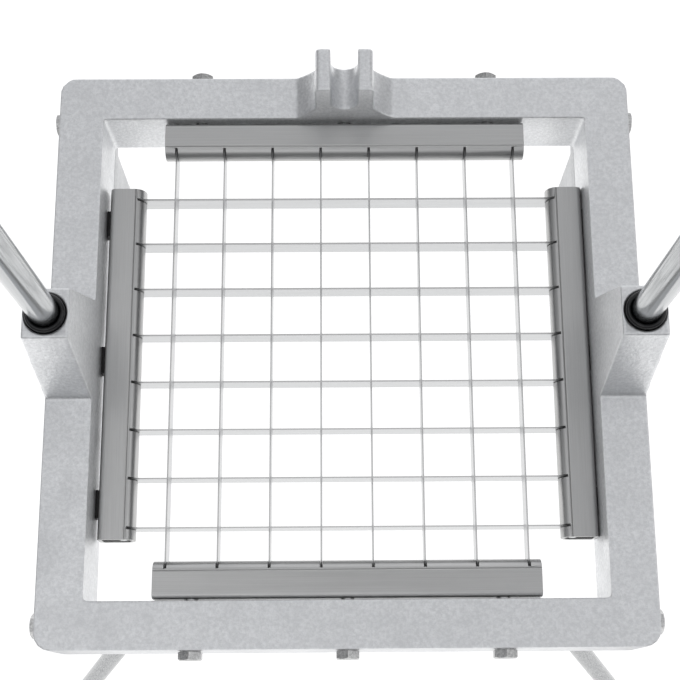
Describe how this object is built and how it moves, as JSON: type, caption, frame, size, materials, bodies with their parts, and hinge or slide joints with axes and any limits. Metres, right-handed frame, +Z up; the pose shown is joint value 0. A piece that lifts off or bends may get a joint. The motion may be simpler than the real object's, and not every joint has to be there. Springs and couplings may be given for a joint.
{
  "type": "french fry cutter",
  "caption": "Lever-operated french fry cutter: a fingered block slides on twin guide rods through a square frame of crossed blades.",
  "frame": {"origin": "on the table, under the middle of the machine's box with its lever up", "axes": "+Z up along the guide rods, -Y towards the person who cuts, +X to their right"},
  "size_m": [0.1968, 0.2368, 0.731],
  "materials": {
    "cast_aluminium": "sand cast, fine speckle, satin",
    "machined_aluminium": "cast with machined faces",
    "holder_steel": "folded stainless sheet, brushed along its length",
    "blade_steel": "ground stainless strip",
    "plain_steel": "brushed flat bar",
    "bright_steel": "polished",
    "bolt_steel": "zinc plated",
    "black_steel": "blackened",
    "black_rubber": "moulded, matt",
    "grip_rubber": "moulded, ribbed",
    "bronze": "turned"
  },
  "bodies": {
    "frame": {"base_frame": "cast_aluminium", "left_rear_leg": "cast_aluminium", "right_rear_leg": "cast_aluminium", "left_front_leg": "bright_steel", "right_front_leg": "bright_steel", "front_foot_pads": "black_rubber", "rear_foot_pads": "black_rubber", "leg_clamp_bolts": "bolt_steel", "front_holder": "holder_steel", "rear_holder": "holder_steel", "left_holder": "holder_steel", "right_holder": "holder_steel", "front_retaining_rod": "bright_steel", "rear_retaining_rod": "bright_steel", "left_retaining_rod": "bright_steel", "right_retaining_rod": "bright_steel", "front_nut_bar": "plain_steel", "rear_nut_bar": "plain_steel", "front_tension_bolts": "bolt_steel", "rear_tension_bolts": "bolt_steel", "left_holder_keys": "black_steel", "right_holder_keys": "black_steel", "long_blade_1": "blade_steel", "long_blade_2": "blade_steel", "long_blade_3": "blade_steel", "long_blade_4": "blade_steel", "long_blade_5": "blade_steel", "long_blade_6": "blade_steel", "long_blade_7": "blade_steel", "long_blade_8": "blade_steel", "cross_blade_1": "blade_steel", "cross_blade_2": "blade_steel", "cross_blade_3": "blade_steel", "cross_blade_4": "blade_steel", "cross_blade_5": "blade_steel", "cross_blade_6": "blade_steel", "cross_blade_7": "blade_steel", "cross_blade_8": "blade_steel", "left_guide_rod": "bright_steel", "right_guide_rod": "bright_steel", "guide_rod_nuts": "bolt_steel", "left_bumper_ring": "black_rubber", "right_bumper_ring": "black_rubber", "guide_rod_caps": "bright_steel"},
    "head": {"pusher_head": "cast_aluminium", "head_bushes": "bronze", "pusher_block": "machined_aluminium", "block_screws": "bolt_steel", "hinge_pin": "bright_steel"},
    "lever": {"lever": "cast_aluminium", "handle_rod": "bright_steel", "handle_pin": "bright_steel", "grip": "grip_rubber", "link_pin": "bright_steel"},
    "link": {"link": "plain_steel"},
    "release_pin": {"release_pin": "bright_steel", "release_ring": "bright_steel"}
  },
  "joints": [
    {"name": "head_slide", "type": "slide", "parent": "frame", "child": "head", "axis": [0, 0, -1], "range_m": [0, 0.282]},
    {"name": "lever_swing", "type": "hinge", "parent": "head", "child": "lever", "pos_m": [0, -0.01537, 0.452], "axis": [1, 0, 0], "range_deg": [0, 112.03]},
    {"name": "link_swing", "type": "hinge", "parent": "lever", "child": "link", "pos_m": [0, 0.11044, 0.3262], "axis": [1, 0, 0], "range_deg": [-112.03, 0]},
    {"name": "release_pin_pull", "type": "slide", "parent": "lever", "child": "release_pin", "axis": [1, 0, 0], "range_m": [0, 0.02]}
  ],
  "couplings": [
    {"joint": "lever_swing", "follows": "head_slide", "rad_per_m": 6.9332},
    {"joint": "link_swing", "follows": "head_slide", "rad_per_m": -6.9332}
  ]
}
